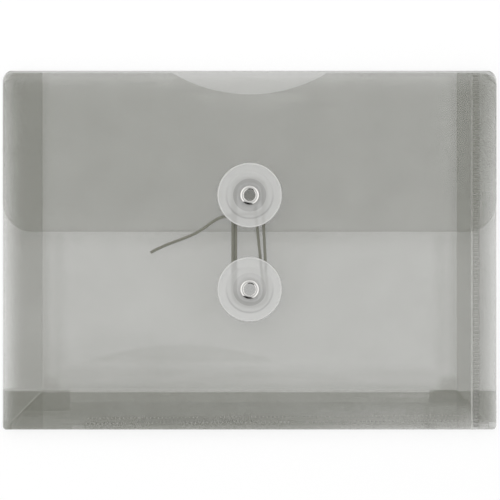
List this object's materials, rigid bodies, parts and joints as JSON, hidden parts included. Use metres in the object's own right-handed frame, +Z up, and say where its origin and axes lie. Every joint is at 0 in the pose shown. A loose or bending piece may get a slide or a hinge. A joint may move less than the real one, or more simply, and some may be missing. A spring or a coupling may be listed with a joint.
{
  "type": "string tie envelope",
  "caption": "Translucent film expanding envelope with inward-folded gussets, a full-width flap and a string wound round eyelet-set button discs to tie it shut.",
  "frame": {"origin": "centre of the envelope on the surface that its back panel lies on", "axes": "+X along the flap fold, +Y from the bottom fold to the flap fold, +Z up out of the front"},
  "size_m": [0.1906, 0.1386, 0.0132],
  "materials": {
    "smoke_film": "translucent smoke-grey film, satin",
    "frosted_disc": "frosted white, translucent",
    "clear_washer": "frosted clear",
    "nickel": "bright nickel plate",
    "string": "braided grey cord"
  },
  "bodies": {
    "back": {"back_panel": "smoke_film"},
    "left_gusset_rear": {"left_gusset_rear": "smoke_film"},
    "left_gusset_front": {"left_gusset_front": "smoke_film"},
    "front": {"front_panel": "smoke_film", "side_seam_strip": "smoke_film", "bottom_seam_tab": "smoke_film"},
    "right_gusset_rear": {"right_gusset_rear": "smoke_film"},
    "right_gusset_front": {"right_gusset_front": "smoke_film"},
    "bottom_gusset_rear": {"bottom_gusset_rear": "smoke_film", "left_corner_tuck": "smoke_film", "right_corner_tuck": "smoke_film"},
    "bottom_gusset_front": {"bottom_gusset_front": "smoke_film"},
    "flap_spine": {"flap_spine": "smoke_film"},
    "flap_fold": {"flap_fold_strip": "smoke_film"},
    "flap": {"flap_panel": "smoke_film", "string_winding": "string", "string_tail": "string"},
    "flap_button": {"flap_button_disc": "frosted_disc", "flap_button_hub": "frosted_disc", "flap_button_eyelet": "nickel", "flap_backing_washer": "clear_washer"},
    "front_button": {"front_button_disc": "frosted_disc", "front_button_hub": "frosted_disc", "front_button_eyelet": "nickel", "front_backing_washer": "clear_washer"}
  },
  "joints": [
    {"name": "gusset_expand", "type": "hinge", "parent": "back", "child": "left_gusset_rear", "pos_m": [-0.09525, 0, 0.0003], "axis": [0, -1, 0], "range_deg": [0, 35]},
    {"name": "left_gusset_fold", "type": "hinge", "parent": "left_gusset_rear", "child": "left_gusset_front", "pos_m": [-0.07996, 0, 0.0034], "axis": [0, -1, 0], "range_deg": [-77, 0]},
    {"name": "front_left_crease", "type": "hinge", "parent": "left_gusset_front", "child": "front", "pos_m": [-0.09525, 0, 0.0065], "axis": [0, -1, 0], "range_deg": [0, 38.5]},
    {"name": "right_gusset_crease", "type": "hinge", "parent": "back", "child": "right_gusset_rear", "pos_m": [0.09525, 0, 0.0003], "axis": [0, 1, 0], "range_deg": [0, 38.5]},
    {"name": "right_gusset_fold", "type": "hinge", "parent": "right_gusset_rear", "child": "right_gusset_front", "pos_m": [0.07996, 0, 0.0034], "axis": [0, 1, 0], "range_deg": [-77, 0]},
    {"name": "bottom_gusset_crease", "type": "hinge", "parent": "back", "child": "bottom_gusset_rear", "pos_m": [0, -0.06925, 0.0003], "axis": [1, 0, 0], "range_deg": [0, 38.5]},
    {"name": "bottom_gusset_fold", "type": "hinge", "parent": "bottom_gusset_rear", "child": "bottom_gusset_front", "pos_m": [0, -0.05396, 0.0034], "axis": [1, 0, 0], "range_deg": [-77, 0]},
    {"name": "flap_crease", "type": "hinge", "parent": "back", "child": "flap_spine", "pos_m": [0, 0.06895, 0.0003], "axis": [-1, 0, 0], "range_deg": [0, 90], "deforming": ["string_winding", "string_tail"]},
    {"name": "flap_lift", "type": "slide", "parent": "flap_spine", "child": "flap_fold", "axis": [0, 0, 1], "range_m": [0, 0.0192]},
    {"name": "flap_fold", "type": "hinge", "parent": "flap_fold", "child": "flap", "pos_m": [0, 0.06895, 0.0078], "axis": [-1, 0, 0], "range_deg": [0, 82], "deforming": ["string_winding", "string_tail"]},
    {"name": "flap_button_spin", "type": "hinge", "parent": "flap", "child": "flap_button", "pos_m": [0, 0.0212, 0.0081], "axis": [0, 0, 1], "continuous": true},
    {"name": "front_button_spin", "type": "hinge", "parent": "front", "child": "front_button", "pos_m": [0, -0.0151, 0.0068], "axis": [0, 0, 1], "continuous": true}
  ],
  "couplings": [
    {"joint": "left_gusset_fold", "follows": "gusset_expand", "ratio": -2},
    {"joint": "front_left_crease", "follows": "gusset_expand", "ratio": 1},
    {"joint": "right_gusset_crease", "follows": "gusset_expand", "ratio": 1},
    {"joint": "right_gusset_fold", "follows": "gusset_expand", "ratio": -2},
    {"joint": "bottom_gusset_crease", "follows": "gusset_expand", "ratio": 1},
    {"joint": "bottom_gusset_fold", "follows": "gusset_expand", "ratio": -2},
    {"joint": "flap_lift", "follows": "gusset_expand", "m_per_rad": 0.0285}
  ]
}
